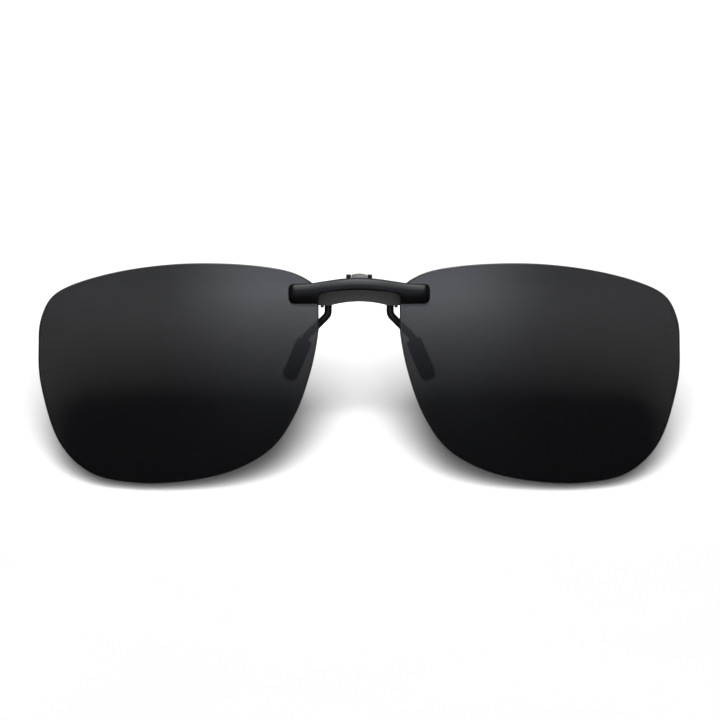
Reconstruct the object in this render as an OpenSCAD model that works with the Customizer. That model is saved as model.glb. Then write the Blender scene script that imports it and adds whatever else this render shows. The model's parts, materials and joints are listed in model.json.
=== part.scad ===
// Clip-on sunglasses: two rimless smoke lenses on a moulded bridge, with a sprung clamp behind it.
// Frame: X runs across the face, Y from the front to the wearer, Z up, in millimetres.
// Origin: on the mid plane, at the plane of the two bumper faces that rest on the host spectacles,
// level with the middle of the bridge bar's ends. Left is -X, as seen from the front.
// Pinching the thumb lever towards the bar swings the clamp's arms and pads backwards about the hinge pin.

/* [Lenses] */
// Width of one lens
lens_w = 61.3; // [54:0.1:66]
// Height of one lens
lens_h = 48.4; // [42:0.1:52]
// Gap between the two lenses at the bridge
lens_gap = 17.4; // [16.8:0.1:19]
// Thickness of the lens sheet
lens_t = 1.1; // [0.8:0.1:1.4]
// Radius of the one sphere that both lens fronts lie on
lens_r = 250; // [200:5:400]

/* [Bridge bar] */
// Length of the bar from end to end
bar_w = 30.4; // [29:0.1:33]
// Height of the bar's ends, where they hold the lenses
bar_h = 4.3; // [4:0.1:4.8]
// Height of the arched band between the ends
band_h = 2.4; // [2:0.05:2.6]
// How far the middle of the bar stands above its ends
bar_rise = 1.3; // [0.8:0.1:1.6]
// How far the bar's front stands ahead of the bumper faces
bar_front = 6; // [5.6:0.1:6.6]

/* [Clamp] */
// Width of the stamped plate that carries the arms
plate_w = 17.9; // [17:0.1:18]
// Thickness of the plate
plate_t = 0.8; // [0.6:0.1:0.8]
// Diameter of the arm wire
arm_d = 1.6; // [1.4:0.1:1.6]
// Width of a pad
pad_w = 3.4; // [3:0.1:4]
// Length of a pad
pad_l = 9.7; // [9:0.1:11]
// Thickness of a pad, front to back
pad_t = 2.7; // [2.4:0.1:3]

/* [Hinge] */
// Diameter of the hinge pin
pin_d = 0.8; // [0.7:0.05:0.9]
// Wire diameter of the torsion springs
spring_d = 0.3; // [0.2:0.05:0.3]
// Turns in each torsion spring
spring_turns = 3; // [2:1:3]
// How far the thumb lever leans back from upright
lever_lean = 35; // [25:1:40]

/* [Hidden] */
$fn = 48;

LEFT = -1;
RIGHT = 1;
fit_gap = 0.05;      // between solids that are held together
skin_gap = 0.03;     // between flat faces that are fastened together

// Colours
smoke = [0.10, 0.10, 0.12];
bar_black = [0.05, 0.05, 0.05];
plate_grey = [0.20, 0.20, 0.21];
nickel = [0.62, 0.61, 0.59];
steel = [0.75, 0.75, 0.76];
arm_black = [0.04, 0.04, 0.04];
rubber = [0.09, 0.09, 0.10];
silicone = [0.14, 0.14, 0.15];
nylon = [0.85, 0.84, 0.80];

// Lens: the outline's points are [distance from the nasal edge, height], for a lens of nominal size.
nominal_lens = [61.3, 48.4];
lens_points = [
    [0.0, -4.7], [0.4, 0.9], [3.1, 3.5], [8.4, 5.3], [18.0, 6.3], [29.6, 6.2], [41.1, 4.7],
    [51.3, 2.0], [57.8, -1.3], [60.6, -6.4], [61.2, -12.1], [60.8, -21.0], [57.1, -33.2],
    [50.1, -40.1], [40.5, -42.0], [29.7, -41.4], [18.95, -38.8], [10.4, -33.75], [5.15, -26.2],
    [1.9, -17.3], [0.2, -9.2]];
outline_steps = 6;                    // straight steps between two of the outline's points
lens_mid_z = -17.3;                   // height of the sphere's centre
lens_apex_y = -4.4;                   // front-most point of that sphere
lens_centre = [0, lens_apex_y + lens_r, lens_mid_z];

// Bridge
bar_rear_y = -2.3;                    // parting plane of bar and back cover between the lenses
bar_half = bar_w / 2;
bar_end_top = 2.3;                    // top of the bar's ends
bar_arch_half = 13.5;                 // the arch fades out this far from the middle
bar_inner_x = lens_gap / 2 + 0.05;    // the full-height ends start here
step_w = 0.15;
bar_bow = 0.9;                        // how far the bar's front falls back towards its ends
bar_edge_r = 1.95;                    // rounding of the bar's long front edges
band_low_r = 0.4;                     // rounding of the band's lower front edge
band_drop = [0.55, 1.95];             // how far the band's lower edge drops before the ends, over what length
bar_back_r = 0.9;                     // rounding of its long top edge at the back
bar_tip_l = 1.2;                      // length over which the bar's ends round off
cover_rear_y = -0.7;
cover_half = bar_half - 0.3;
cover_end_z = [-2.7, 1.7];            // bottom and top of the cover's ends
web_x = lens_gap / 2 - 0.05;          // bar and cover are solid between the lenses up to here

// Lens fasteners, two through each lens
screw_x = [10.7, 13.7];
screw_z = 0.9;
screw_d = 1.0;
screw_head_d = 1.7;
screw_head_h = 0.5;
screw_tip_y = -4.4;
screw_slot = [0.25, 0.25];            // width and depth of the driver slot
bush_d = 1.5;

// Bumpers
bumper_x = [9.4, 14.7];
bumper_z = [-2.5, -0.25];
bumper_seat = 0.3;                    // depth of the bumper's pocket in the cover

// Hinge, from the middle outwards: lever barrel, fixed ears, springs, ears of the clamp plate, pin heads
pin_y = 1.0;
pin_z = 1.9;
lever_half = 1.68;
fixed_ear_x = [1.75, 2.8];
fixed_ear_y = [-0.9, 2.1];
fixed_ear_z = [0.75, 3.76];
spring_x = [2.95, 4.3];
spring_r = 0.7;                       // radius of the coils' centre line
plate_ear_x = [4.4, 5.2];
plate_ear_d = 1.9;
plate_ear_top = 0.64;                 // the ears are cut off flat this far above the pin's axis
pin_head_x = [5.25, 5.55];
pin_head_d = 1.2;
barrel_d = 2.2;                       // outside of the lever's curl round the pin
running_gap = 0.04;                   // radial clearance of the clamp on its pin

// Clamp
plate_front_y = -0.65;
plate_rear_y = plate_front_y + plate_t;
plate_z = [-2.7, 0.6];
plate_arch_r = 23;                    // radius of the arch under the plate
plate_arch_top = -1.88;
lever_t = 0.7;
lever_l = 2.65;                       // reach of the lever's tongue from the pin
lever_end_r = 4.0;                    // radius of the tongue's arched end
lever_foot_z = -1.5;
rivet_x = 0.85;
rivet_z = -0.75;
rivet_d = 0.7;
rivet_head_d = 1.2;
rivet_head_h = 0.3;
rivet_seat = 0.25;                    // metal left between a rivet's end and the plate's front
arm_x = 6.7;
arm_y = 1.1;
arm_top_z = -0.1;
arm_turn_z = -4.9;                    // where the arm's upright stretch would meet its slanted one
arm_slant = 45;                       // slant of the middle stretch from upright
pad_slant = 23;                       // slant of the pad and the stretch inside it
arm_slant_l = 6.6;
arm_end_l = 8.8;                      // reach of the wire past its second bend, into the pad
arm_bend_r = [1.9, 2.2];
bend_swell = 0.01;                    // the wire is a hair fuller in its bends
bend_lap = 0.02;                      // and its straight stretches reach this far into them
clasp_x = [5.6, 8.3];
clasp_z = [-2.0, -0.3];
clasp_rear_y = 2.15;
tooth_x = [7.6, 8.35];                // the clasp's outer tooth, which steadies the wire
tooth_z = -3.3;
tooth_rear_y = 1.1;
pad_start_l = 0.8;                    // where the pad begins, measured along the wire from its second bend

// ---------------------------------------------------------------- helpers

// A closed, smooth curve through the points, in straight steps
function spline_point(a, b, c, d, t) =
    0.5 * (2 * b + (c - a) * t + (2 * a - 5 * b + 4 * c - d) * t * t + (3 * b - a - 3 * c + d) * t * t * t);
function closed_spline(p, steps) = let (n = len(p))
    [for (i = [0 : n - 1], s = [0 : steps - 1])
        spline_point(p[(i + n - 1) % n], p[i], p[(i + 1) % n], p[(i + 2) % n], s / steps)];

// Height of the lens fronts' sphere above the XZ plane, at a place on it
function lens_front_y(x, z) =
    lens_centre.y - sqrt(lens_r * lens_r - x * x - (z - lens_mid_z) * (z - lens_mid_z));

// A solid through a row of rings that all have the same number of points
module loft(rings) {
    n = len(rings[0]);
    m = len(rings);
    polyhedron(
        points = [for (r = rings, p = r) p],
        faces = concat(
            [[for (i = [n - 1 : -1 : 0]) i]],
            [for (k = [0 : m - 2], i = [0 : n - 1]) let (j = (i + 1) % n)
                [k * n + i, k * n + j, (k + 1) * n + j, (k + 1) * n + i]],
            [[for (i = [0 : n - 1]) (m - 1) * n + i]]),
        convexity = 6);
}

// Extrudes a profile drawn in X and Z, from y0 back to y1
module along_y(y0, y1) {
    translate([0, y1, 0]) rotate([90, 0, 0]) linear_extrude(height = y1 - y0) children();
}

// Extrudes a profile drawn in Y and Z, from x0 to x1
module along_x(x0, x1) {
    translate([x0, 0, 0]) rotate([90, 0, 90]) linear_extrude(height = x1 - x0) children();
}

// A round rod along Y
module rod_y(x, z, d, y0, y1) {
    translate([x, y1, z]) rotate([90, 0, 0]) cylinder(d = d, h = y1 - y0);
}

// A round rod along X on the hinge's axis
module rod_x(d, x0, x1) {
    translate([x0, pin_y, pin_z]) rotate([0, 90, 0]) cylinder(d = d, h = x1 - x0);
}

// A rectangle between two corners, with round corners
module round_rect(low, high, r) {
    translate([low.x + r, low.y]) square([high.x - low.x - 2 * r, high.y - low.y]);
    translate([low.x, low.y + r]) square([high.x - low.x, high.y - low.y - 2 * r]);
    for (x = [low.x + r, high.x - r], y = [low.y + r, high.y - r]) translate([x, y]) circle(r = r);
}

module mirrored(side) {
    if (side == LEFT) mirror([1, 0, 0]) children();
    else children();
}

// ---------------------------------------------------------------- lenses and their fasteners

module lens_sphere(r) {
    translate(lens_centre) sphere(r = r, $fn = 256);
}

module lens(side) {
    scale_xz = [lens_w / nominal_lens.x, lens_h / nominal_lens.y];
    outline = [for (p = lens_points) [lens_gap / 2 + p.x * scale_xz.x, p.y * scale_xz.y]];
    front_depth = 1;
    back_depth = 14;
    color(smoke) mirrored(side) difference() {
        intersection() {
            along_y(lens_apex_y - front_depth, lens_apex_y + back_depth)
                polygon(closed_spline(outline, outline_steps));
            lens_sphere(lens_r);
        }
        lens_sphere(lens_r - lens_t);
        for (x = screw_x)
            rod_y(x, screw_z, bush_d + fit_gap, lens_apex_y - front_depth, lens_apex_y + back_depth);
    }
}

module lens_bushes(side) {
    end_gap = 0.1;
    color(nylon) mirrored(side) for (x = screw_x) let (y = lens_front_y(x, screw_z)) difference() {
        rod_y(x, screw_z, bush_d, y + end_gap, y + lens_t - end_gap);
        rod_y(x, screw_z, screw_d + fit_gap, y, y + lens_t);
    }
}

module lens_screw(side, place) {
    x = screw_x[place];
    color(steel) mirrored(side) difference() {
        union() {
            rod_y(x, screw_z, screw_d, screw_tip_y, cover_rear_y - screw_head_h);
            rod_y(x, screw_z, screw_head_d, cover_rear_y - screw_head_h, cover_rear_y);
        }
        translate([x - screw_head_d, cover_rear_y - screw_slot[1], screw_z - screw_slot[0] / 2])
            cube([2 * screw_head_d, 1, screw_slot[0]]);
    }
}

// ---------------------------------------------------------------- bridge

// The arch's share of its full rise, 1 in the middle and 0 past bar_arch_half
function arch(x) = abs(x) >= bar_arch_half ? 0 : (cos(180 * x / bar_arch_half) + 1) / 2;
function bar_top(x) = bar_end_top + bar_rise * arch(x);
function band_bottom(x) = let (near_end = max(0, abs(x) - bar_inner_x + band_drop[1]) / band_drop[1])
    bar_end_top - 2 + (bar_rise + 2 - band_h) * arch(x) - band_drop[0] * pow(near_end, 2);

// One ring of the bar, round at its long edges and shrunk by tip, from 1 to 0, at the bar's ends
function bar_ring(x, low, high, low_edge_r, tip) = let (
    mid = (low + high) / 2,
    half = (high - low) / 2 * (0.45 + 0.55 * tip),
    front = -bar_front + bar_bow * pow(x / bar_half, 2) + (1 - tip) * 1.3,
    low_r = min(low_edge_r, 0.95 * half),
    top_r = min(bar_edge_r, 1.98 * half - low_r),
    back_r = min(bar_back_r, 0.95 * half),
    arc_steps = 6)
    concat(
        [[x, bar_rear_y, mid - half]],
        [for (i = [0 : arc_steps]) let (a = 90 * i / arc_steps)
            [x, front + low_r - low_r * sin(a), mid - half + low_r - low_r * cos(a)]],
        [for (i = [0 : arc_steps]) let (a = 90 * i / arc_steps)
            [x, front + top_r - top_r * cos(a), mid + half - top_r + top_r * sin(a)]],
        [for (i = [0 : arc_steps - 1]) let (a = 90 * i / (arc_steps - 1))
            [x, bar_rear_y - back_r + back_r * sin(a), mid + half - back_r + back_r * cos(a)]]);

module bridge_bar() {
    band_steps = 16;
    end_steps = 5;
    tip_steps = 6;
    tip_x = bar_half - bar_tip_l;
    low_end = bar_end_top - bar_h;
    end_x = bar_inner_x + step_w;
    // Stations of one half, from the step outwards: the full-height end, then its round tip
    end_stations = [for (i = [0 : end_steps]) end_x + (tip_x - end_x) * i / end_steps];
    tip_stations = [for (i = [1 : tip_steps]) tip_x + bar_tip_l * sin(90 * i / tip_steps)];
    function tip_share(x) = abs(x) <= tip_x ? 1 : sqrt(max(0, 1 - pow((abs(x) - tip_x) / bar_tip_l, 2)));
    half = [for (x = concat(end_stations, tip_stations))
        bar_ring(x, low_end, bar_top(x), bar_edge_r, tip_share(x))];
    middle = [for (i = [-band_steps : band_steps]) let (x = bar_inner_x * i / band_steps)
        bar_ring(x, band_bottom(x), bar_top(x), band_low_r, 1)];
    other_half = [for (i = [len(half) - 1 : -1 : 0]) [for (p = half[i]) [-p.x, p.y, p.z]]];
    lens_room = 30;
    color(bar_black) difference() {
        loft(concat(other_half, middle, half));
        // Room for the lenses behind the bar's ends
        for (side = [LEFT, RIGHT]) mirrored(side) intersection() {
            lens_sphere(lens_r + fit_gap);
            translate([web_x, -lens_room / 2, -lens_room / 2]) cube([lens_room, lens_room, lens_room]);
        }
        // Blind holes for the lens screws
        for (side = [LEFT, RIGHT], x = screw_x)
            rod_y(side * x, screw_z, screw_d + fit_gap, screw_tip_y - fit_gap, bar_rear_y + 1);
    }
}

module fixed_ear(side) {
    mirrored(side) along_x(fixed_ear_x[0], fixed_ear_x[1])
        round_rect([fixed_ear_y[0], fixed_ear_z[0]], [fixed_ear_y[1], fixed_ear_z[1]], 0.55);
}

module bridge_back_cover() {
    web_points = 12;
    web_h = 1.8;
    web_top = function (x) bar_top(x) - 0.5;
    across = [for (i = [-web_points : web_points]) (web_x + 0.3) * i / web_points];
    front_room = 1;
    color(bar_black) difference() {
        union() {
            // Arched web between the lenses
            along_y(bar_rear_y + fit_gap, cover_rear_y) polygon(concat(
                [for (x = across) [x, web_top(x)]],
                [for (i = [len(across) - 1 : -1 : 0]) [across[i], web_top(across[i]) - web_h]]));
            // Ends behind the lenses
            for (side = [LEFT, RIGHT]) mirrored(side) intersection() {
                along_y(bar_rear_y - front_room, cover_rear_y)
                    round_rect([bar_inner_x, cover_end_z[0]], [cover_half, cover_end_z[1]], 0.8);
                lens_sphere(lens_r - lens_t - fit_gap);
            }
            fixed_ear(LEFT);
            fixed_ear(RIGHT);
        }
        rod_x(pin_d + 0.02, -plate_ear_x[0], plate_ear_x[0]);
        for (side = [LEFT, RIGHT]) mirrored(side) {
            for (x = screw_x) {
                rod_y(x, screw_z, screw_d + 2 * fit_gap, bar_rear_y - front_room, cover_rear_y + 1);
                rod_y(x, screw_z, screw_head_d + 2 * fit_gap,
                      cover_rear_y - screw_head_h - skin_gap, cover_rear_y + 1);
            }
            // Pocket that seats the bumper
            along_y(cover_rear_y - bumper_seat - skin_gap, cover_rear_y + 1)
                round_rect([bumper_x[0] - fit_gap, bumper_z[0] - fit_gap],
                           [bumper_x[1] + fit_gap, bumper_z[1] + fit_gap], 0.6);
        }
    }
}

module bumper(side) {
    color(silicone) mirrored(side) along_y(cover_rear_y - bumper_seat, 0)
        round_rect([bumper_x[0], bumper_z[0]], [bumper_x[1], bumper_z[1]], 0.55);
}

// ---------------------------------------------------------------- hinge

module hinge_pin() {
    color(steel) {
        rod_x(pin_d, -pin_head_x[1], pin_head_x[1]);
        for (side = [LEFT, RIGHT]) mirrored(side) rod_x(pin_head_d, pin_head_x[0], pin_head_x[1]);
    }
}

// A torsion spring: its front leg rests on the back cover above the pin, its coils run round the pin, and its
// rear leg presses on the clamp plate below the pin. Both legs touch the coil's circle.
module torsion_spring(side) {
    steps = 14;
    sides = 8;
    leg_gap = spring_d / 2 + 0.04;
    x = [spring_x[0] + spring_d / 2, spring_x[1] - spring_d / 2];
    fixed_foot = [cover_rear_y + leg_gap, 2.5];
    moving_foot = [plate_rear_y + leg_gap, -1.3];
    // Angle, about the pin, at which a line from the foot touches the circle on the given side
    function touch(foot, way) = let (d = foot - [pin_y, pin_z])
        (atan2(d.y, d.x) + 360) % 360 + way * acos(spring_r / norm(d));
    start = touch(fixed_foot, 1);
    sweep = touch(moving_foot, -1) + 360 * spring_turns - start;
    count = round(steps * sweep / 360);
    coil = [for (i = [0 : count]) let (a = start + sweep * i / count)
        [x[0] + (x[1] - x[0]) * i / count, pin_y + spring_r * cos(a), pin_z + spring_r * sin(a)]];
    path = concat([[x[0], fixed_foot.x, fixed_foot.y]], coil, [[x[1], moving_foot.x, moving_foot.y]]);
    n = len(path);
    // Each ring stands square to the path, with X as its sideways direction on the legs
    rings = [for (i = [0 : n - 1]) let (
        along = path[min(i + 1, n - 1)] - path[max(i - 1, 0)],
        t = along / norm(along),
        u0 = [1, 0, 0] - t.x * t,
        u = u0 / norm(u0),
        v = cross(t, u))
        [for (k = [0 : sides - 1]) let (a = 360 * k / sides)
            path[i] + spring_d / 2 * (u * cos(a) + v * sin(a))]];
    color(steel) mirrored(side) loft(rings);
}

// ---------------------------------------------------------------- clamp

module clamp_plate() {
    half = plate_w / 2;
    color(plate_grey) difference() {
        union() {
            along_y(plate_front_y, plate_rear_y) difference() {
                round_rect([-half, plate_z[0]], [half, plate_z[1]], 0.3);
                translate([0, plate_arch_top - plate_arch_r]) circle(r = plate_arch_r, $fn = 180);
            }
            // Folded ears that turn on the pin
            for (side = [LEFT, RIGHT]) mirrored(side) along_x(plate_ear_x[0], plate_ear_x[1]) difference() {
                union() {
                    translate([pin_y, pin_z]) circle(d = plate_ear_d);
                    polygon([[plate_front_y, plate_z[1] - 1], [plate_front_y, plate_z[1]],
                             [pin_y - plate_ear_d / 2, pin_z], [pin_y + plate_ear_d / 2, pin_z],
                             [plate_rear_y, plate_z[1] - 1.6]]);
                }
                translate([pin_y - plate_ear_d, pin_z + plate_ear_top])
                    square([2 * plate_ear_d, plate_ear_d]);
            }
        }
        rod_x(pin_d + 2 * running_gap, -pin_head_x[0], pin_head_x[0]);
        for (side = [LEFT, RIGHT])
            rod_y(side * rivet_x, rivet_z, rivet_d + 0.02, plate_front_y + rivet_seat, plate_rear_y + 1);
    }
}

module thumb_lever() {
    foot_y = [plate_rear_y + skin_gap, plate_rear_y + skin_gap + lever_t];
    outer = barrel_d / 2;
    color(nickel) difference() {
        union() {
            along_x(-lever_half, lever_half)
                polygon([[foot_y[0], lever_foot_z], [foot_y[1], lever_foot_z],
                         [foot_y[1], pin_z], [foot_y[0], pin_z]]);
            // Tongue, leaning back and arched at its end
            translate([0, pin_y, pin_z]) rotate([-lever_lean, 0, 0]) along_y(outer - lever_t, outer)
                intersection() {
                    translate([-lever_half, 0]) square([2 * lever_half, lever_l]);
                    translate([0, lever_l - lever_end_r]) circle(r = lever_end_r, $fn = 120);
                }
            rod_x(barrel_d, -lever_half, lever_half);
        }
        rod_x(pin_d + 2 * running_gap, -lever_half - 1, lever_half + 1);
        for (side = [LEFT, RIGHT])
            rod_y(side * rivet_x, rivet_z, rivet_d + 0.02, foot_y[0] - 1, foot_y[1] + 1);
    }
}

module lever_rivets() {
    head_y = plate_rear_y + skin_gap + lever_t + 0.01;
    color(steel) for (side = [LEFT, RIGHT]) {
        rod_y(side * rivet_x, rivet_z, rivet_d, plate_front_y + rivet_seat + 0.02, head_y + rivet_head_h);
        rod_y(side * rivet_x, rivet_z, rivet_head_d, head_y, head_y + rivet_head_h);
    }
}

module arm_clasp(side) {
    front_y = plate_rear_y + skin_gap;
    color(plate_grey) mirrored(side) difference() {
        union() {
            along_y(front_y, clasp_rear_y)
                round_rect([clasp_x[0], clasp_z[0]], [clasp_x[1], clasp_z[1]], 0.3);
            along_y(front_y, tooth_rear_y)
                round_rect([tooth_x[0], tooth_z], [tooth_x[1], clasp_z[1]], 0.2);
        }
        translate([arm_x, arm_y, tooth_z - 1]) cylinder(d = arm_d + fit_gap, h = 5);
    }
}

// A bend of the arm wire in the XZ plane: it sets off downwards and turns towards +X by angle
module wire_bend(r, angle) {
    translate([r, 0, 0]) rotate([90, 0, 0]) rotate([0, 0, 180])
        rotate_extrude(angle = angle) translate([r, 0]) circle(d = arm_d + bend_swell);
}

// A straight stretch of wire that hangs down from z = top to z = low and laps into the bends at its ends
module wire_straight(top, low) {
    translate([0, 0, low - bend_lap]) cylinder(d = arm_d, h = top - low + 2 * bend_lap);
}

// Arm wire: an upright stretch, a slanted one and the end inside the pad, with true bends between them
module arm(side) {
    turn = [arm_slant, arm_slant - pad_slant];
    cut = [arm_bend_r[0] * tan(turn[0] / 2), arm_bend_r[1] * tan(turn[1] / 2)];
    color(arm_black) mirrored(side) translate([arm_x, arm_y, arm_turn_z]) {
        wire_straight(arm_top_z - arm_turn_z - bend_lap, cut[0]);
        translate([0, 0, cut[0]]) wire_bend(arm_bend_r[0], turn[0]);
        rotate([0, -arm_slant, 0]) {
            wire_straight(-cut[0], cut[1] - arm_slant_l);
            translate([0, 0, cut[1] - arm_slant_l]) rotate([0, 0, 180]) wire_bend(arm_bend_r[1], turn[1]);
            translate([0, 0, -arm_slant_l]) rotate([0, turn[1], 0])
                wire_straight(-cut[1], bend_lap - arm_end_l);
        }
    }
}

// Rubber pad over the end of the arm: narrow at its mouth, full and round at its tip
module pad(side) {
    mouth_l = 1.0;
    tip_r = pad_w / 2;
    flat = pad_t / pad_w;
    color(rubber) mirrored(side) translate([arm_x, arm_y, arm_turn_z]) rotate([0, -arm_slant, 0])
        translate([0, 0, -arm_slant_l]) rotate([0, arm_slant - pad_slant, 0]) difference() {
            hull() {
                translate([0, 0, -pad_start_l - mouth_l]) scale([1, flat, 1])
                    cylinder(r1 = tip_r, r2 = tip_r * 0.68, h = mouth_l, $fn = 32);
                translate([0, 0, -pad_start_l - pad_l + tip_r]) scale([1, flat, 1])
                    sphere(r = tip_r, $fn = 32);
            }
            translate([0, 0, -arm_end_l - 0.1]) cylinder(d = arm_d + fit_gap, h = arm_end_l + 2);
        }
}

// ---------------------------------------------------------------- nodes

bridge_bar();
bridge_back_cover();
lens(LEFT);  // left_lens
lens(RIGHT);  // right_lens
lens_screw(LEFT, 0);  // left_inner_lens_screw
lens_screw(LEFT, 1);  // left_outer_lens_screw
lens_screw(RIGHT, 0);  // right_inner_lens_screw
lens_screw(RIGHT, 1);  // right_outer_lens_screw
lens_bushes(LEFT);  // left_lens_bushes
lens_bushes(RIGHT);  // right_lens_bushes
bumper(LEFT);  // left_bumper
bumper(RIGHT);  // right_bumper
hinge_pin();
torsion_spring(LEFT);  // left_torsion_spring
torsion_spring(RIGHT);  // right_torsion_spring
clamp_plate();
thumb_lever();
lever_rivets();
arm_clasp(LEFT);  // left_arm_clasp
arm_clasp(RIGHT);  // right_arm_clasp
arm(LEFT);  // left_arm
arm(RIGHT);  // right_arm
pad(LEFT);  // left_pad
pad(RIGHT);  // right_pad
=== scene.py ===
import json
import math

import bmesh
import bpy
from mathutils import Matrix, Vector
from mathutils.geometry import delaunay_2d_cdt
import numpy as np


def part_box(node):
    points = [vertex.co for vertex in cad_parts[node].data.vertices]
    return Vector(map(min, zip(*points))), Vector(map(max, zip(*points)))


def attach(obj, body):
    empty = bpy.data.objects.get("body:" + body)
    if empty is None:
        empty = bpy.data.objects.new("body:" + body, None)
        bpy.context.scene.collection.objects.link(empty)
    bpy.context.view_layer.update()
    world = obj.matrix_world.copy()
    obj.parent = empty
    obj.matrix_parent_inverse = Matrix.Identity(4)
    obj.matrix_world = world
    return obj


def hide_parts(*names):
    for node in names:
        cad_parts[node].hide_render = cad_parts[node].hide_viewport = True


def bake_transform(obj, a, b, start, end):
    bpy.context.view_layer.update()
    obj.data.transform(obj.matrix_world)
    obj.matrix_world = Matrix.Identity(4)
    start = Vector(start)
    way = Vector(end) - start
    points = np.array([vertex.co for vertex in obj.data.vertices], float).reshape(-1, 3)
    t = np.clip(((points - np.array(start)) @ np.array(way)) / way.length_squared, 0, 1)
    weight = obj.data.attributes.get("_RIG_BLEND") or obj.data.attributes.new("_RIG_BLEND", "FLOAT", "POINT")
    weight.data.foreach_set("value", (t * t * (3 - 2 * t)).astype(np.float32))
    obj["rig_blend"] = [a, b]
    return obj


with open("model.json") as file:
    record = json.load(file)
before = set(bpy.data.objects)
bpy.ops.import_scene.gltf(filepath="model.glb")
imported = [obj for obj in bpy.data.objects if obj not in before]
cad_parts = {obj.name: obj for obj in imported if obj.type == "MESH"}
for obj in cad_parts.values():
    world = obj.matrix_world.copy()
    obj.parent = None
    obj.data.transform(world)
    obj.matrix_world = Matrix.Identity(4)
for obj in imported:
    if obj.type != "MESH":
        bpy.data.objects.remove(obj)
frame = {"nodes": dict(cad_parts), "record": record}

# Clip-on sunglasses. The frame is in metres: X across the face, -Y to the front, Z up. The object's sizes
# below are in millimetres and are the CAD model's, so that each drawn piece keeps close to the outside of its
# own solid. The screw holes in the bar and the bores in the pads aren't drawn.
MM = 0.001
LEFT, RIGHT = -1, 1
SIDE_NAME = {LEFT: "left", RIGHT: "right"}
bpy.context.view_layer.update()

# Lenses: both fronts lie on one sphere
LENS_R = 250.0
LENS_T = 1.1
LENS_CENTRE = Vector((0.0, 245.6, -17.3))
LENS_HOLE_R = 0.775
LENS_EDGE_ROUND = 0.22
LENS_PITCH = 2.2          # spacing of the drawn net's points
SCREW_X = (10.7, 13.7)
SCREW_Z = 0.9

# Bridge bar
BAR_HALF = 15.2
BAR_END_TOP = 2.3
BAR_END_LOW = -2.0
BAR_RISE = 1.3
BAR_ARCH_HALF = 13.5
BAND_H = 2.4
BAND_END_H = 2.0
BAR_FRONT = -6.0
BAR_REAR = -2.3
BAR_TIP = 1.2
BAR_TIP_SHARE = 0.45      # the bar's height at its very tips, as a share of the full height
BAR_TIP_BACK = 1.3        # how far the tips draw back from the front
BAR_REAR_R = 0.9
BAR_LENS_GAP = 0.05
BAR_BOW = 0.9
BAR_EDGE_R = 1.95
BAND_LOW_R = 0.4
BAND_DROP = (0.55, 1.95)
END_STEP = (8.75, 8.9)

# Clamp: arms and pads in one plane behind the lenses
ARM_X = 6.7
ARM_Y = 1.1
ARM_R = 0.8
ARM_TOP = -0.1
ARM_TURN_Z = -4.9
ARM_SLANT = math.radians(45)
ARM_SLANT_L = 6.6
ARM_BEND_R = (1.9, 2.2)
PAD_SLANT = math.radians(23)
PAD_START = 0.8
PAD_L = 9.7
PAD_W = 3.4
PAD_T = 2.7
PAD_POWER = 2.5           # of the superellipse that is the pad's section
PAD_MOUTH_R = 0.75
PAD_MOUTH_SHARE = 0.74    # the pad's size at its mouth, as a share of the full size
ARM_END_L = 8.8

# Hinge and springs
PIN_Y = 1.0
PIN_Z = 1.9
SPRING_WIRE_R = 0.15
SPRING_COIL_R = 0.7
SPRING_X = (3.1, 4.15)
SPRING_TURNS = 3
SPRING_FOOT = Vector((-0.51, 2.5))
SPRING_TIP = Vector((0.34, -1.3))

# Noise values mostly lie between these
NOISE_LOW, NOISE_HIGH = 0.35, 0.65
# Points nearer than this, in metres, are joined
WELD = 1e-7
# Edges of a CAD mesh that turn by more degrees than this are rounded
SHARP_ANGLE = 40

# Stage: metres, degrees and watts. The object hangs FLOOR_GAP above the floor, to set where its shadow starts
FLOOR_Y = (-1.5, 0.45)
FLOOR_HALF = 1.5
FLOOR_GAP = 0.003
LIGHT_TARGET = Vector((0.0, 0.0, -0.015))
KEY_HEIGHT = 15.0
KEY_REACH = 0.9
KEY_SPREAD = (7.0, 13.0)
KEY_POWER = 34.0
POOL_PLACE = Vector((0.0, 0.33, 0.06))
POOL_TARGET = Vector((0.0, 0.33, -0.04))
POOL_SIZE = 0.03
POOL_POWER = 0.07
SOFTBOX_REACH = 1.3
OVERHEAD_HEIGHT = 86
OVERHEAD_SIZE = (0.7, 2.3)
OVERHEAD_POWER = 30.0
FILL_HEIGHT = 30
FILL_SIZE = (1.0, 0.6)
FILL_POWER = 3.6

# World: how bright it is behind the object, to diffuse rays, and where the lenses mirror the card
BACKDROP = 1.1
AMBIENT = 0.07
CARD_SIDE = (10, 24)
CARD_REST = 0.12
CARD_TOP = 1.0
CARD_FADE = 4.7
CARD_CEILING = (25, 60)
CARD_CEILING_REST = 0.25
CARD_LIGHT = 1.65
CARD_LEAST = 0.03
CARD_COLOUR = (0.80, 0.86, 1.0)

# Camera: its target is in millimetres
CAMERA_TARGET = Vector((0.18, -3.5, -14.2))
CAMERA_HEIGHT = 8
CAMERA_REACH = 0.7
CAMERA_LENS = 162.6


# ------------------------------------------------------------------ node trees

def new_material(name):
    """A new material, its node tree and its shader."""
    material = bpy.data.materials.new(name)
    material.use_nodes = True
    tree = material.node_tree
    return material, tree, tree.nodes["Principled BSDF"]


def add_node(tree, kind, values=None, **settings):
    node = tree.nodes.new(kind)
    for key, value in settings.items():
        setattr(node, key, value)
    for key, value in (values or {}).items():
        node.inputs[key].default_value = value
    return node


def place_vector(tree, scale=(1.0, 1.0, 1.0)):
    """Object coordinates in millimetres, stretched by scale."""
    coordinates = add_node(tree, "ShaderNodeTexCoord")
    mapping = add_node(tree, "ShaderNodeMapping", {"Scale": [s / MM for s in scale]})
    tree.links.new(coordinates.outputs["Object"], mapping.inputs["Vector"])
    return mapping.outputs["Vector"]


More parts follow.
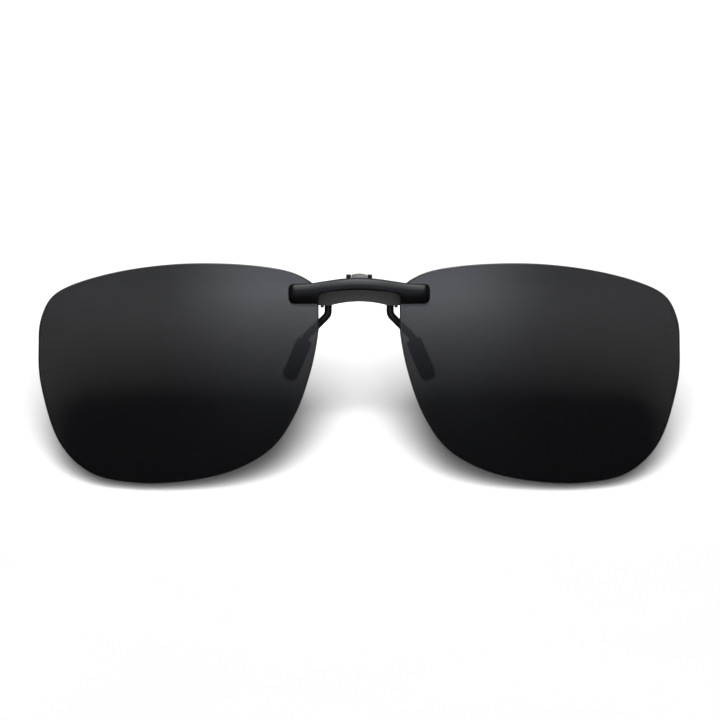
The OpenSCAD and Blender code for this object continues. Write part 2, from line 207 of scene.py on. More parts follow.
def noise_value(tree, vector, scale, detail=3.0, roughness=0.55):
    node = add_node(tree, "ShaderNodeTexNoise", {"Scale": scale, "Detail": detail, "Roughness": roughness})
    tree.links.new(vector, node.inputs["Vector"])
    return node.outputs["Fac"]


def map_range(tree, value, low, high, kind="LINEAR", out=(0.0, 1.0)):
    """Maps low..high onto out."""
    node = add_node(tree, "ShaderNodeMapRange",
                    {"From Min": low, "From Max": high, "To Min": out[0], "To Max": out[1]},
                    interpolation_type=kind)
    tree.links.new(value, node.inputs["Value"])
    return node.outputs["Result"]


def maths(tree, operation, *values):
    """One maths node over numbers and sockets."""
    node = add_node(tree, "ShaderNodeMath", operation=operation)
    for i, value in enumerate(values):
        if isinstance(value, (int, float)):
            node.inputs[i].default_value = value
        else:
            tree.links.new(value, node.inputs[i])
    return node.outputs[0]


def spread(tree, value, low, high):
    """Maps a noise value onto low..high."""
    return map_range(tree, value, NOISE_LOW, NOISE_HIGH, out=(low, high))


def colour_between(tree, value, low, high):
    """Maps a noise value onto the colours from low to high."""
    ramp = add_node(tree, "ShaderNodeValToRGB")
    ramp.color_ramp.elements[0].position = NOISE_LOW
    ramp.color_ramp.elements[0].color = (*low, 1.0)
    ramp.color_ramp.elements[1].position = NOISE_HIGH
    ramp.color_ramp.elements[1].color = (*high, 1.0)
    tree.links.new(value, ramp.inputs["Fac"])
    return ramp.outputs["Color"]


def add_bump(tree, shader, heights, distance):
    """Bumps the surface by the sum of (value, share) pairs; distance is in millimetres."""
    total = None
    for value, share in heights:
        scaled = maths(tree, "MULTIPLY", value, share)
        total = scaled if total is None else maths(tree, "ADD", total, scaled)
    bump = add_node(tree, "ShaderNodeBump", {"Strength": 1.0, "Distance": distance * MM})
    tree.links.new(total, bump.inputs["Height"])
    tree.links.new(bump.outputs["Normal"], shader.inputs["Normal"])


# ------------------------------------------------------------------ materials

def smoke_lens():
    """Polished smoke-grey sheet that passes a few per cent of the light; its gloss has faint wipe marks."""
    material, tree, shader = new_material("smoke_lens")
    shader.inputs["Base Color"].default_value = (0.0015, 0.0015, 0.0020, 1.0)
    shader.inputs["Alpha"].default_value = 0.845
    shader.inputs["IOR"].default_value = 1.6
    wipes = noise_value(tree, place_vector(tree, (0.05, 0.05, 0.16)), 1.0, detail=4.0)
    tree.links.new(spread(tree, wipes, 0.03, 0.075), shader.inputs["Roughness"])
    return material


def lens_edge():
    """The ground edge of the sheet: opaque seen end on, with a satin finish from the wheel."""
    material, tree, shader = new_material("lens_edge")
    marks = noise_value(tree, place_vector(tree), 6.0)
    tree.links.new(colour_between(tree, marks, (0.010, 0.010, 0.011), (0.020, 0.020, 0.022)),
                   shader.inputs["Base Color"])
    tree.links.new(spread(tree, marks, 0.30, 0.44), shader.inputs["Roughness"])
    shader.inputs["Specular IOR Level"].default_value = 0.4
    add_bump(tree, shader, [(marks, 1.0)], 0.01)
    return material


def black_moulding(name, roughness, gloss):
    """Black moulding: a fine spark-eroded grain and a slight unevenness of gloss."""
    material, tree, shader = new_material(name)
    vector = place_vector(tree)
    broad = noise_value(tree, vector, 0.45)
    grain = noise_value(tree, vector, 9.0, detail=2.0)
    tree.links.new(colour_between(tree, broad, (0.0032, 0.0032, 0.0034), (0.0050, 0.0050, 0.0053)),
                   shader.inputs["Base Color"])
    tree.links.new(spread(tree, grain, *roughness), shader.inputs["Roughness"])
    shader.inputs["Specular IOR Level"].default_value = gloss
    add_bump(tree, shader, [(grain, 1.0), (broad, 2.0)], 0.008)
    return material


def coated_plate():
    """Dark grey stamped steel with a dull, sandy coat."""
    material, tree, shader = new_material("coated_plate")
    vector = place_vector(tree)
    mottle = noise_value(tree, vector, 1.3)
    sand = noise_value(tree, vector, 14.0, detail=2.0)
    tree.links.new(colour_between(tree, mottle, (0.066, 0.066, 0.067), (0.082, 0.082, 0.083)),
                   shader.inputs["Base Color"])
    tree.links.new(spread(tree, sand, 0.55, 0.72), shader.inputs["Roughness"])
    add_bump(tree, shader, [(sand, 1.0)], 0.02)
    return material


def coated_wire():
    """Black coated spring wire, a little glossier than the plate."""
    material, tree, shader = new_material("coated_wire")
    vector = place_vector(tree)
    sand = noise_value(tree, vector, 10.0, detail=2.0)
    tree.links.new(colour_between(tree, sand, (0.0035, 0.0035, 0.0038), (0.0070, 0.0070, 0.0074)),
                   shader.inputs["Base Color"])
    tree.links.new(spread(tree, sand, 0.32, 0.44), shader.inputs["Roughness"])
    add_bump(tree, shader, [(sand, 1.0)], 0.008)
    return material


def pad_rubber():
    """Dull soft rubber with a fine speckle and a broad, faint bloom."""
    material, tree, shader = new_material("pad_rubber")
    vector = place_vector(tree)
    bloom = noise_value(tree, vector, 0.5)
    speckle = noise_value(tree, vector, 7.0, detail=4.0)
    tree.links.new(colour_between(tree, bloom, (0.012, 0.012, 0.013), (0.018, 0.018, 0.020)),
                   shader.inputs["Base Color"])
    tree.links.new(spread(tree, speckle, 0.50, 0.66), shader.inputs["Roughness"])
    add_bump(tree, shader, [(speckle, 1.0), (bloom, 1.5)], 0.015)
    return material


def bumper_silicone():
    """Slightly milky dark silicone."""
    material, tree, shader = new_material("bumper_silicone")
    vector = place_vector(tree)
    cloud = noise_value(tree, vector, 1.1)
    tree.links.new(colour_between(tree, cloud, (0.012, 0.012, 0.013), (0.020, 0.020, 0.022)),
                   shader.inputs["Base Color"])
    tree.links.new(spread(tree, cloud, 0.42, 0.55), shader.inputs["Roughness"])
    add_bump(tree, shader, [(cloud, 1.0)], 0.02)
    return material


def brushed_metal(name, dark, light, roughness, stretch):
    """Metal brushed along one axis, which stretch leaves short."""
    material, tree, shader = new_material(name)
    brush = noise_value(tree, place_vector(tree, stretch), 6.0, detail=4.0, roughness=0.7)
    tree.links.new(colour_between(tree, brush, dark, light), shader.inputs["Base Color"])
    shader.inputs["Metallic"].default_value = 1.0
    tree.links.new(spread(tree, brush, *roughness), shader.inputs["Roughness"])
    add_bump(tree, shader, [(brush, 1.0)], 0.006)
    return material


def bush_nylon():
    """Off-white nylon with a faint cloudiness."""
    material, tree, shader = new_material("bush_nylon")
    cloud = noise_value(tree, place_vector(tree), 2.0)
    tree.links.new(colour_between(tree, cloud, (0.55, 0.53, 0.48), (0.66, 0.65, 0.60)),
                   shader.inputs["Base Color"])
    tree.links.new(spread(tree, cloud, 0.40, 0.52), shader.inputs["Roughness"])
    return material


def studio_floor():
    """Matt white, very slightly uneven."""
    material, tree, shader = new_material("studio_floor")
    haze = noise_value(tree, place_vector(tree), 0.01)
    tree.links.new(colour_between(tree, haze, (0.93, 0.93, 0.93), (0.95, 0.95, 0.95)),
                   shader.inputs["Base Color"])
    shader.inputs["Roughness"].default_value = 1.0
    shader.inputs["Specular IOR Level"].default_value = 0.0
    return material


MATERIALS = {
    "smoke_lens": smoke_lens(),
    "lens_edge": lens_edge(),
    "moulded_black": black_moulding("black_moulding", (0.27, 0.37), 0.2),
    "matt_black": black_moulding("matt_black_moulding", (0.48, 0.60), 0.06),
    "black_plate": coated_plate(),
    "black_wire": coated_wire(),
    "pad_rubber": pad_rubber(),
    "silicone": bumper_silicone(),
    "satin_nickel": brushed_metal("satin_nickel", (0.044, 0.043, 0.042), (0.064, 0.063, 0.061),
                                  (0.30, 0.42), (0.15, 2.0, 2.0)),
    "steel": brushed_metal("drawn_steel", (0.50, 0.50, 0.51), (0.68, 0.68, 0.70), (0.20, 0.32),
                           (2.0, 2.0, 2.0)),
    "nylon": bush_nylon(),
}
SLOT_OF = {part["node"]: part["material_slot"] for part in frame["record"]["subparts"]}
# The back cover shares the bar's slot but has a duller finish
FINISH_OF = dict(SLOT_OF, bridge_back_cover="matt_black")
BODY_OF = {node: body for body, nodes in frame["record"]["behaviour"]["bodies"].items() for node in nodes}


# ------------------------------------------------------------------ mesh helpers

def finish_mesh(mesh, smooth_angle):
    """Joins points that coincide, turns the faces outwards and shades all but the sharp edges smooth."""
    shape = bmesh.new()
    shape.from_mesh(mesh)
    bmesh.ops.remove_doubles(shape, verts=shape.verts, dist=WELD)
    bmesh.ops.recalc_face_normals(shape, faces=shape.faces)
    shape.to_mesh(mesh)
    shape.free()
    mesh.polygons.foreach_set("use_smooth", [True] * len(mesh.polygons))
    mesh.set_sharp_from_angle(angle=math.radians(smooth_angle))


def make_piece(name, mesh, node, rides=True):
    """Puts a mesh in the scene in place of a CAD node, with that node's material and body."""
    piece = bpy.data.objects.new(name, mesh)
    bpy.context.scene.collection.objects.link(piece)
    mesh.materials.clear()
    mesh.materials.append(MATERIALS[FINISH_OF[node]])
    if rides:
        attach(piece, BODY_OF[node])
    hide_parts(node)
    return piece


def mesh_from_mm(name, points, faces):
    """A mesh from points in millimetres."""
    mesh = bpy.data.meshes.new(name)
    mesh.from_pydata([Vector(p) * MM for p in points], [], faces)
    return mesh


def loft(rings):
    """Points and faces of a closed skin over rings that all have the same number of points."""
    count = len(rings[0])
    points = [p for ring in rings for p in ring]
    faces = []
    for k in range(len(rings) - 1):
        for i in range(count):
            j = (i + 1) % count
            faces.append((k * count + i, k * count + j, (k + 1) * count + j, (k + 1) * count + i))
    faces.append(tuple(range(count - 1, -1, -1)))
    faces.append(tuple((len(rings) - 1) * count + i for i in range(count)))
    return points, faces


def sweep(path, radii, sides, square_to):
    """Rings of a round wire along a path that never runs along the axis square_to."""
    rings = []
    last = len(path) - 1
    for k, (point, radius) in enumerate(zip(path, radii)):
        along = (path[min(k + 1, last)] - path[max(k - 1, 0)]).normalized()
        across = (square_to - along * along.dot(square_to)).normalized()
        other = along.cross(across)
        rings.append([point + radius * (across * math.cos(math.tau * i / sides)
                                        + other * math.sin(math.tau * i / sides)) for i in range(sides)])
    return rings


def softened(node, width, segments):
    """A copy of a CAD node's own mesh, its sharp edges broken by a small round; width is in millimetres."""
    mesh = frame["nodes"][node].data.copy()
    mesh.name = node + "_soft"
    shape = bmesh.new()
    shape.from_mesh(mesh)
    bmesh.ops.remove_doubles(shape, verts=shape.verts, dist=2 * WELD)
    bmesh.ops.dissolve_limit(shape, angle_limit=math.radians(1.0), verts=shape.verts, edges=shape.edges)
    shared = [e for e in shape.edges if len(e.link_faces) == 2]
    sharp = [e for e in shared if e.calc_face_angle(0.0) > math.radians(SHARP_ANGLE)]
    bmesh.ops.bevel(shape, geom=sharp, offset=width * MM, segments=segments, profile=0.5,
                    affect="EDGES", clamp_overlap=True)
    shape.to_mesh(mesh)
    shape.free()
    for name in [a.name for a in mesh.attributes if a.name == "custom_normal"]:
        mesh.attributes.remove(mesh.attributes[name])
    finish_mesh(mesh, 38)
    return make_piece(node + "_skin", mesh, node)


# ------------------------------------------------------------------ lenses

def lens_y(x, z, inset=0.0):
    """Depth of the lens at a place: its front, or inset millimetres behind it."""
    r = LENS_R - inset
    return LENS_CENTRE.y - math.sqrt(r * r - x * x - (z - LENS_CENTRE.z) ** 2)


def screw_holes(side):
    """The middles of a lens's two screw holes in X and Z."""
    return [Vector((side * x, SCREW_Z)) for x in SCREW_X]


def rim_corners(node):
    """The corners of the CAD lens's front edge in X and Z, in millimetres, in order round the lens."""
    mesh = frame["nodes"][node].data
    side = LEFT if node.startswith("left") else RIGHT
    holes = screw_holes(side)
    off_front, apart = 0.02, 0.1
    corners = []
    for face in mesh.polygons:
        if abs(face.normal.y) > 0.02:    # not part of the edge
            continue
        for index in face.vertices:
            p = mesh.vertices[index].co / MM
            flat = Vector((p.x, p.z))
            if abs((p - LENS_CENTRE).length - LENS_R) > off_front:
                continue
            if any((flat - hole).length < LENS_HOLE_R + apart for hole in holes):
                continue
            if all((flat - other).length > apart for other in corners):
                corners.append(flat)
    middle = sum(corners, Vector((0, 0))) / len(corners)
    return sorted(corners, key=lambda p: math.atan2(p.y - middle.y, p.x - middle.x))


def smooth_loop(points, steps):
    """A closed Catmull-Rom curve through the points."""
    curve = []
    count = len(points)
    for i in range(count):
        a, b, c, d = (points[(i + k) % count] for k in (-1, 0, 1, 2))
        for s in range(steps):
            t = s / steps
            curve.append(0.5 * (2 * b + (c - a) * t + (2 * a - 5 * b + 4 * c - d) * t * t
                                + (3 * b - a - 3 * c + d) * t ** 3))
    return curve


def inset_loop(loop, distance):
    """The loop moved inwards by distance; it runs anticlockwise."""
    count = len(loop)
    moved = []
    for i in range(count):
        along = (loop[(i + 1) % count] - loop[i - 1]).normalized()
        moved.append(loop[i] + Vector((-along.y, along.x)) * distance)
    return moved


def inside(loop, p):
    """Is the point inside the closed loop?"""
    hit = False
    for a, b in zip(loop, loop[1:] + loop[:1]):
        if (a.y > p.y) != (b.y > p.y) and p.x < a.x + (p.y - a.y) / (b.y - a.y) * (b.x - a.x):
            hit = not hit
    return hit


def lens_sheet(rim, holes):
    """A flat net of triangles inside the rim and outside the holes: its points, its triangles, and the
    indices of its points along the rim and round each hole."""
    hole_sides, hole_margin = 28, 0.6
    turns = [math.tau * i / hole_sides for i in range(hole_sides)]
    loops = [rim]
    loops += [[hole + LENS_HOLE_R * Vector((math.cos(a), math.sin(a))) for a in turns] for hole in holes]
    points, edges, spans = [], [], []
    for loop in loops:
        start, count = len(points), len(loop)
        points += loop
        edges += [(start + i, start + (i + 1) % count) for i in range(count)]
        spans.append(range(start, start + count))
    guard = inset_loop(rim, 0.45 * LENS_PITCH)
    low = Vector((min(p.x for p in rim), min(p.y for p in rim)))
    high = Vector((max(p.x for p in rim), max(p.y for p in rim)))
    row_h = LENS_PITCH * math.sqrt(3) / 2
    for row in range(int((high.y - low.y) / row_h) + 1):
        for column in range(int((high.x - low.x) / LENS_PITCH) + 1):
            p = low + Vector(((column + 0.5 * (row % 2)) * LENS_PITCH, row * row_h))
            if inside(guard, p) and all((p - hole).length > LENS_HOLE_R + hole_margin for hole in holes):
                points.append(p)
    found, _, triangles, sources, *_ = delaunay_2d_cdt(points, edges, [], 0, 1e-6)
    now = {old: new for new, olds in enumerate(sources) for old in olds}
    kept = []
    for triangle in triangles:
        centre = sum((found[i] for i in triangle), Vector((0, 0))) / 3
        if inside(rim, centre) and all((centre - hole).length > LENS_HOLE_R for hole in holes):
            kept.append(tuple(triangle))
    return found, kept, [[now[i] for i in span] for span in spans]


def build_lens(side):
    """A bent sheet of even thickness with a polished round edge and two screw holes."""
    node = SIDE_NAME[side] + "_lens"
    rim = smooth_loop(rim_corners(node), 3)
    flat, triangles, loops = lens_sheet(inset_loop(rim, LENS_EDGE_ROUND), screw_holes(side))
    count = len(flat)
    points = [(p.x, lens_y(p.x, p.y), p.y) for p in flat]
    points += [(p.x, lens_y(p.x, p.y, LENS_T), p.y) for p in flat]
    faces = list(triangles) + [tuple(count + i for i in reversed(t)) for t in triangles]
    for loop in loops[1:]:
        for a, b in zip(loop, loop[1:] + loop[:1]):
            faces.append((a, b, count + b, count + a))
    walls_end = len(faces)
    # Polished edge: from the front sheet's rim over two rounds to the back sheet's rim
    arc = [math.radians(90 * k / 5) for k in range(1, 6)]
    profile = [(LENS_EDGE_ROUND * (1 - math.sin(a)), LENS_EDGE_ROUND * (1 - math.cos(a))) for a in arc]
    profile += [(inset, LENS_T - depth) for inset, depth in reversed(profile)]
    rows = [loops[0]]
    for inset, depth in profile:
        rows.append(range(len(points), len(points) + len(rim)))
        for p, q in zip(rim, inset_loop(rim, inset)):
            points.append((q.x, lens_y(p.x, p.y) + depth, q.y))
    rows.append([count + i for i in loops[0]])
    for row, following in zip(rows, rows[1:]):
        for i in range(len(rim)):
            j = (i + 1) % len(rim)
            faces.append((row[i], following[i], following[j], row[j]))
    mesh = mesh_from_mm(node + "_mesh", points, faces)
    finish_mesh(mesh, 40)
    # The sheet's own points keep the sphere's exact normals
    normals = [corner.vector.copy() for corner in mesh.corner_normals]
    for k, face in enumerate(mesh.polygons):
        if 2 * len(triangles) <= k < walls_end:
            continue
        for corner in face.loop_indices:
            index = mesh.loops[corner].vertex_index
            if index < 2 * count:
                out = (mesh.vertices[index].co / MM - LENS_CENTRE).normalized()
                normals[corner] = out if index < count else -out
    mesh.normals_split_custom_set(normals)
    piece = make_piece(node + "_sheet", mesh, node)
    mesh.materials.append(MATERIALS["lens_edge"])
    for face in mesh.polygons[walls_end:]:
        face.material_index = 1
    return piece


# ------------------------------------------------------------------ bridge bar

def arch(x):
    """Share of the bar's full rise at x: 1 in the middle, 0 past its half length."""
    return 0.0 if abs(x) >= BAR_ARCH_HALF else (math.cos(math.pi * x / BAR_ARCH_HALF) + 1) / 2


def quarter(centre, radius, start, steps):
    """A quarter of a circle in Y and Z from the start angle on, anticlockwise as seen from -X."""
    turns = [math.radians(start + 90 * i / steps) for i in range(steps + 1)]
    return [(centre[0] + radius * math.cos(a), centre[1] + radius * math.sin(a)) for a in turns]


def bar_section(x, low, high, is_end):
    """One ring of the bar; at its tips it shrinks and draws back from the front."""
    beyond = max(0.0, (abs(x) - (BAR_HALF - BAR_TIP)) / BAR_TIP)
    tip = math.sqrt(max(0.0, 1 - beyond * beyond))
    middle, half = (low + high) / 2, (high - low) / 2 * (BAR_TIP_SHARE + (1 - BAR_TIP_SHARE) * tip)
    front = BAR_FRONT + BAR_BOW * (x / BAR_HALF) ** 2 + (1 - tip) * BAR_TIP_BACK
    # The two front rounds together leave a little of the height flat
    under = min(BAR_EDGE_R, 0.95 * half) if is_end else min(BAND_LOW_R, 1.98 * half - BAR_EDGE_R)
    crown = min(BAR_EDGE_R, 1.98 * half - under)
    back = min(BAR_REAR_R, 0.95 * half)
    steps = 12
    ring = [(BAR_REAR, middle - half)]
    ring += reversed(quarter((front + under, middle - half + under), under, 180, steps))
    ring += reversed(quarter((front + crown, middle + half - crown), crown, 90, steps))
    ring += reversed(quarter((BAR_REAR - back, middle + half - back), back, 0, steps))
    points = []
    for y, z in ring:
        if is_end:
            y = min(y, lens_y(x, z) - BAR_LENS_GAP)
        points.append(Vector((x, y, z)))
    return points


def build_bar():
    """The arched bar: a slim band between two ends of full height, which lie on the lenses."""
    def high(x):
        return BAR_END_TOP + BAR_RISE * arch(x)

    def band_low(x):
        near_end = max(0.0, abs(x) - END_STEP[0] + BAND_DROP[1]) / BAND_DROP[1]
        rise = (BAR_RISE + BAND_END_H - BAND_H) * arch(x)
        return BAR_END_TOP - BAND_END_H + rise - BAND_DROP[0] * near_end ** 2

    band_steps, end_steps, tip_steps = 60, 12, 12
    straight = BAR_HALF - BAR_TIP
    middle = [END_STEP[0] * (2 * k / band_steps - 1) for k in range(band_steps + 1)]
    outer = [END_STEP[1] + (straight - END_STEP[1]) * k / end_steps for k in range(end_steps + 1)]
    outer += [straight + BAR_TIP * math.sin(math.pi / 2 * k / tip_steps) for k in range(1, tip_steps + 1)]
    rings = [bar_section(-x, BAR_END_LOW, high(x), True) for x in reversed(outer)]
    rings += [bar_section(x, band_low(x), high(x), False) for x in middle]
    rings += [bar_section(x, BAR_END_LOW, high(x), True) for x in outer]
    mesh = mesh_from_mm("bridge_bar_mesh", *loft(rings))
    finish_mesh(mesh, 42)
    return make_piece("bridge_bar_shell", mesh, "bridge_bar")


# ------------------------------------------------------------------ clamp

def down(slant):
    """The direction that leans outwards from straight down by slant, on the right side."""
    return Vector((math.sin(slant), 0, -math.cos(slant)))


def fillet(corner, before, after, radius, steps):
    """Points of the arc that rounds the corner between two directions of travel."""
    angle = before.angle(after)
    cut = radius * math.tan(angle / 2)
    start = corner - before * cut
    towards = (after - before * after.dot(before)).normalized()
    centre = start + towards * radius
    turns = [angle * k / steps for k in range(steps + 1)]
    return [centre - towards * radius * math.cos(a) + before * radius * math.sin(a) for a in turns]


ARM_START = Vector((ARM_X, ARM_Y, ARM_TOP))
FIRST_BEND = Vector((ARM_X, ARM_Y, ARM_TURN_Z))
SECOND_BEND = FIRST_BEND + down(ARM_SLANT) * ARM_SLANT_L


def on_side(points, side):
    """Points of the right side, mirrored for the left."""
    return [Vector((side * p.x, p.y, p.z)) for p in points]


def build_arm(side):
    """A wire bent twice, its ends chamfered."""
    node = SIDE_NAME[side] + "_arm"
    path = [ARM_START + down(0) * t for t in (0.0, 0.08, 0.2, 1.0, 2.0, 3.0)]
    path += fillet(FIRST_BEND, down(0), down(ARM_SLANT), ARM_BEND_R[0], 14)
    path += fillet(SECOND_BEND, down(ARM_SLANT), down(PAD_SLANT), ARM_BEND_R[1], 10)
    path += [SECOND_BEND + down(PAD_SLANT) * t for t in (2.0, 5.0, ARM_END_L - 0.2, ARM_END_L)]
    radii = [ARM_R * share for share in (0.8, 0.94, *(1.0,) * (len(path) - 3), 0.8)]
    mesh = mesh_from_mm(node + "_mesh", *loft(sweep(on_side(path, side), radii, 28, Vector((0, 1, 0)))))
    finish_mesh(mesh, 50)
    return make_piece(node + "_wire", mesh, node)


def build_pad(side):
    """A moulded sleeve over the arm's end: flat-sided, round at both ends, with a lip at its mouth. It is
    drawn closed, and the wire runs into it."""
    node = SIDE_NAME[side] + "_pad"
    along = down(PAD_SLANT)
    across = Vector((-along.z, 0, along.x))
    top = SECOND_BEND + along * PAD_START
    half_w, half_t = PAD_W / 2, PAD_T / 2
    steps, sides = 64, 48
    tip_r = half_w * 0.97
    # From the wire outwards over the mouth, down the sleeve and round the tip
    stations = [(0.35, ARM_R * 0.96), (0.02, ARM_R * 1.06), (0.0, ARM_R * 1.25)]
    profile = []
    for k in range(1, steps):
        t = PAD_L * (1 - math.cos(math.pi * k / steps)) / 2
        grow = 1.0
        if t < PAD_MOUTH_R:
            grow = 1 - (1 - PAD_MOUTH_SHARE) * (1 - math.sqrt(1 - (1 - t / PAD_MOUTH_R) ** 2))
        if t > PAD_L - tip_r:
            grow = math.sqrt(max(0.0, 1 - ((t - PAD_L + tip_r) / tip_r) ** 2)) ** 0.9
        profile.append((t, grow))
    rings = []
    for t, r in stations:
        rings.append([top + along * t + across * r * math.cos(a) + Vector((0, 1, 0)) * r * math.sin(a)
                      for a in (math.tau * i / sides for i in range(sides))])
    for t, grow in profile:
        ring = []
        for i in range(sides):
            a = math.tau * i / sides
            c, s = math.cos(a), math.sin(a)
            wide, thick = (math.copysign(abs(v) ** (2 / PAD_POWER), v) for v in (c, s))
            ring.append(top + along * t + across * half_w * grow * wide
                        + Vector((0, 1, 0)) * half_t * grow * thick)
        rings.append(ring)
    mesh = mesh_from_mm(node + "_mesh", *loft([on_side(r, side) for r in rings]))
    finish_mesh(mesh, 60)
    return make_piece(node + "_sleeve", mesh, node)


def build_spring(side):
    """A torsion spring whose front leg rests on the cover and whose rear leg presses on the clamp plate."""
    node = SIDE_NAME[side] + "_torsion_spring"

    def touch(foot, way):
        """Angle about the pin at which a line from the foot touches the coil's circle."""
        reach = foot - Vector((PIN_Y, PIN_Z))
        return math.atan2(reach.y, reach.x) % math.tau + way * math.acos(SPRING_COIL_R / reach.length)

    start = touch(SPRING_FOOT, 1)
    sweep_angle = touch(SPRING_TIP, -1) + math.tau * SPRING_TURNS - start
    steps = 130
    path = [Vector((SPRING_X[0], *SPRING_FOOT))]
    for k in range(steps + 1):
        a = start + sweep_angle * k / steps
        path.append(Vector((SPRING_X[0] + (SPRING_X[1] - SPRING_X[0]) * k / steps,
                            PIN_Y + SPRING_COIL_R * math.cos(a), PIN_Z + SPRING_COIL_R * math.sin(a))))
    tip = Vector((SPRING_X[1], *SPRING_TIP))
    path = [path[0].lerp(path[1], t) for t in (0.0, 0.3, 0.6)] + path[1:]
    path += [path[-1].lerp(tip, t) for t in (0.2, 0.4, 0.6, 0.8, 1.0)]
    radii = [SPRING_WIRE_R] * len(path)
    mesh = mesh_from_mm(node + "_mesh", *loft(sweep(on_side(path, side), radii, 14, Vector((1, 0, 0)))))
    finish_mesh(mesh, 50)
    piece = make_piece(node + "_wire", mesh, node, rides=False)
    # Above the pin the wire stays with the cover, and well below it, with the plate
    ends = [Vector((0, PIN_Y, PIN_Z + rise)) * MM for rise in (0.4, -2.0)]
    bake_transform(piece, "front", "clamp", *ends)
    return piece


for side in (LEFT, RIGHT):
    build_lens(side)
    build_arm(side)
    build_pad(side)
    build_spring(side)
build_bar()
for node in ("bridge_back_cover", "clamp_plate", "thumb_lever", "left_arm_clasp", "right_arm_clasp"):
    softened(node, 0.07, 3)
for node in ("left_bumper", "right_bumper"):
    softened(node, 0.12, 3)
for node in ("hinge_pin", "lever_rivets", "left_lens_bushes", "right_lens_bushes", "left_inner_lens_screw",
             "left_outer_lens_screw", "right_inner_lens_screw", "right_outer_lens_screw"):
    softened(node, 0.04, 2)


# ------------------------------------------------------------------ stage

def link_light(light, pieces, name):
    """Lets a light fall on the given pieces only; everything still casts shadows."""
    group = bpy.data.collections.new(name)
    for piece in pieces:
        group.objects.link(piece)
    light.light_linking.receiver_collection = group


def build_floor():
    """A wide pale floor under the lower edges of the lenses. The object's gloss doesn't mirror it."""
    (near, far), half = FLOOR_Y, FLOOR_HALF
    level = min(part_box(node)[0].z for node in ("left_lens", "right_lens")) - FLOOR_GAP
    mesh = bpy.data.meshes.new("floor_mesh")
    mesh.from_pydata([(-half, near, level), (half, near, level), (half, far, level), (-half, far, level)],
                     [], [(0, 1, 2, 3)])
    mesh.materials.append(studio_floor())
    floor = bpy.data.objects.new("floor", mesh)
    bpy.context.scene.collection.objects.link(floor)
    floor.visible_glossy = False
    return floor


def aim(obj, place, target):
    """Puts a light or the camera in its place and turns it to the target."""
    obj.location = place
    obj.rotation_euler = (Vector(target) - Vector(place)).to_track_quat("-Z", "Y").to_euler()


def add_light(name, place, target, energy, in_gloss=False, **settings):
    """An area light; only with in_gloss is it mirrored in glossy surfaces."""
    light = bpy.data.lights.new(name, "AREA")
    light.energy = energy
    for key, value in settings.items():
        setattr(light, key, value)
    holder = bpy.data.objects.new(name, light)
    bpy.context.scene.collection.objects.link(holder)
    aim(holder, place, target)
    holder.visible_glossy = in_gloss
    return holder


def around(azimuth, elevation, distance):
    """A place seen from the object at these angles; azimuth 0 is the front."""
    a, e = math.radians(azimuth), math.radians(elevation)
    return Vector((math.sin(a) * math.cos(e), -math.cos(a) * math.cos(e), math.sin(e))) * distance


def add_key(floor, target):
    """A low light that reaches only the floor. It grows with distance as much as the floor turns away from
    it, so that the floor stays even and only the shadows show."""
    width, height = (2 * KEY_REACH * math.tan(math.radians(angle / 2)) for angle in KEY_SPREAD)
    key = add_light("floor_key", target + around(0, KEY_HEIGHT, KEY_REACH), target, KEY_POWER,
                    shape="ELLIPSE", size=width, size_y=height)
    key.data.use_nodes = True
    tree = key.data.node_tree
    even = add_node(tree, "ShaderNodeLightFalloff", {"Strength": 1.0})
    length = maths(tree, "MULTIPLY", even.outputs["Constant"],
                   add_node(tree, "ShaderNodeLightPath").outputs["Ray Length"])
    tree.links.new(maths(tree, "DIVIDE", length, KEY_REACH), tree.nodes["Emission"].inputs["Strength"])
    link_light(key, [floor], "key_receivers")


def build_lights(floor, pieces):
    """A low, soft key that throws the object's shadow back over the floor, and soft light on the object."""
    add_key(floor, LIGHT_TARGET)
    pool = add_light("floor_pool", POOL_PLACE, POOL_TARGET, POOL_POWER, shape="DISK", size=POOL_SIZE)
    link_light(pool, [floor], "pool_receivers")
    overhead = add_light("overhead_softbox", around(0, OVERHEAD_HEIGHT, SOFTBOX_REACH), LIGHT_TARGET,
                         OVERHEAD_POWER, in_gloss=True, shape="RECTANGLE", size=OVERHEAD_SIZE[0],
                         size_y=OVERHEAD_SIZE[1], color=(0.95, 0.97, 1.0))
    link_light(overhead, pieces, "overhead_receivers")
    fill = add_light("front_fill", around(0, FILL_HEIGHT, SOFTBOX_REACH), LIGHT_TARGET, FILL_POWER,
                     shape="RECTANGLE", size=FILL_SIZE[0], size_y=FILL_SIZE[1])
    link_light(fill, pieces, "fill_receivers")


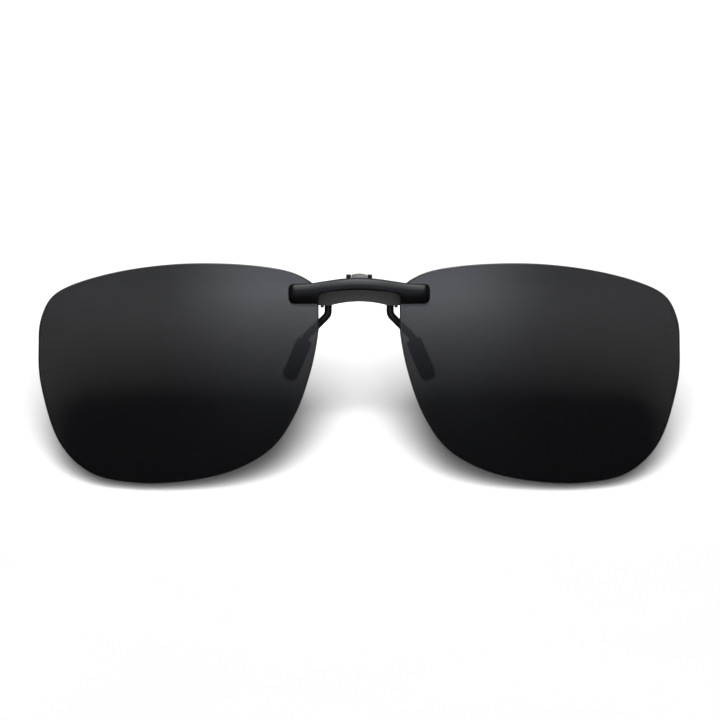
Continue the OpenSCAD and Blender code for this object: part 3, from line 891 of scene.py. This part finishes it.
def build_world():
    """White behind. What the lenses mirror is a soft pale card ahead that fades down and to the sides."""
    world = bpy.data.worlds.new("studio")
    bpy.context.scene.world = world
    world.use_nodes = True
    tree = world.node_tree
    tree.nodes.clear()
    output = add_node(tree, "ShaderNodeOutputWorld")
    parts = add_node(tree, "ShaderNodeSeparateXYZ")
    tree.links.new(add_node(tree, "ShaderNodeTexCoord").outputs["Generated"], parts.inputs[0])
    elevation = maths(tree, "ARCSINE", parts.outputs["Z"])
    azimuth = maths(tree, "ARCTAN2", parts.outputs["X"], maths(tree, "MULTIPLY", parts.outputs["Y"], -1.0))
    sideways = map_range(tree, maths(tree, "ABSOLUTE", azimuth), *map(math.radians, CARD_SIDE), "SMOOTHSTEP",
                         (1.0, CARD_REST))
    # The card is brightest at its top edge and fades below it by a constant share a degree
    below = maths(tree, "MINIMUM", maths(tree, "SUBTRACT", elevation, math.radians(CARD_TOP)), 0.0)
    fade = maths(tree, "EXPONENT", maths(tree, "DIVIDE", below, math.radians(CARD_FADE)))
    ceiling = map_range(tree, elevation, *map(math.radians, CARD_CEILING), "SMOOTHSTEP",
                        (1.0, CARD_CEILING_REST))
    card = maths(tree, "MULTIPLY", maths(tree, "MULTIPLY", sideways, fade), ceiling)
    rays = add_node(tree, "ShaderNodeLightPath")
    mirrored = add_node(tree, "ShaderNodeBackground", {"Color": (*CARD_COLOUR, 1.0)})
    tree.links.new(maths(tree, "MULTIPLY_ADD", card, CARD_LIGHT, CARD_LEAST), mirrored.inputs["Strength"])
    seen = add_node(tree, "ShaderNodeBackground", {"Color": (1.0, 1.0, 1.0, 1.0), "Strength": BACKDROP})
    diffuse = add_node(tree, "ShaderNodeBackground", {"Color": (1.0, 1.0, 1.0, 1.0), "Strength": AMBIENT})
    by_gloss = add_node(tree, "ShaderNodeMixShader")
    tree.links.new(rays.outputs["Is Glossy Ray"], by_gloss.inputs[0])
    tree.links.new(diffuse.outputs[0], by_gloss.inputs[1])
    tree.links.new(mirrored.outputs[0], by_gloss.inputs[2])
    choose = add_node(tree, "ShaderNodeMixShader")
    tree.links.new(rays.outputs["Is Camera Ray"], choose.inputs[0])
    tree.links.new(by_gloss.outputs[0], choose.inputs[1])
    tree.links.new(seen.outputs[0], choose.inputs[2])
    tree.links.new(choose.outputs[0], output.inputs["Surface"])


def build_camera():
    """Straight on, from a little above."""
    target = CAMERA_TARGET * MM
    camera = bpy.data.objects.new("camera", bpy.data.cameras.new("camera"))
    camera.data.sensor_width = 36.0
    camera.data.lens = CAMERA_LENS
    camera.data.clip_start = 0.01
    camera.data.clip_end = 100.0
    bpy.context.scene.collection.objects.link(camera)
    aim(camera, target + around(0, CAMERA_HEIGHT, CAMERA_REACH), target)
    bpy.context.scene.camera = camera


build_lights(build_floor(), [o for o in bpy.context.scene.objects if o.type == "MESH" and o.name != "floor"])
build_world()
build_camera()
bpy.context.scene.view_settings.view_transform = "Standard"
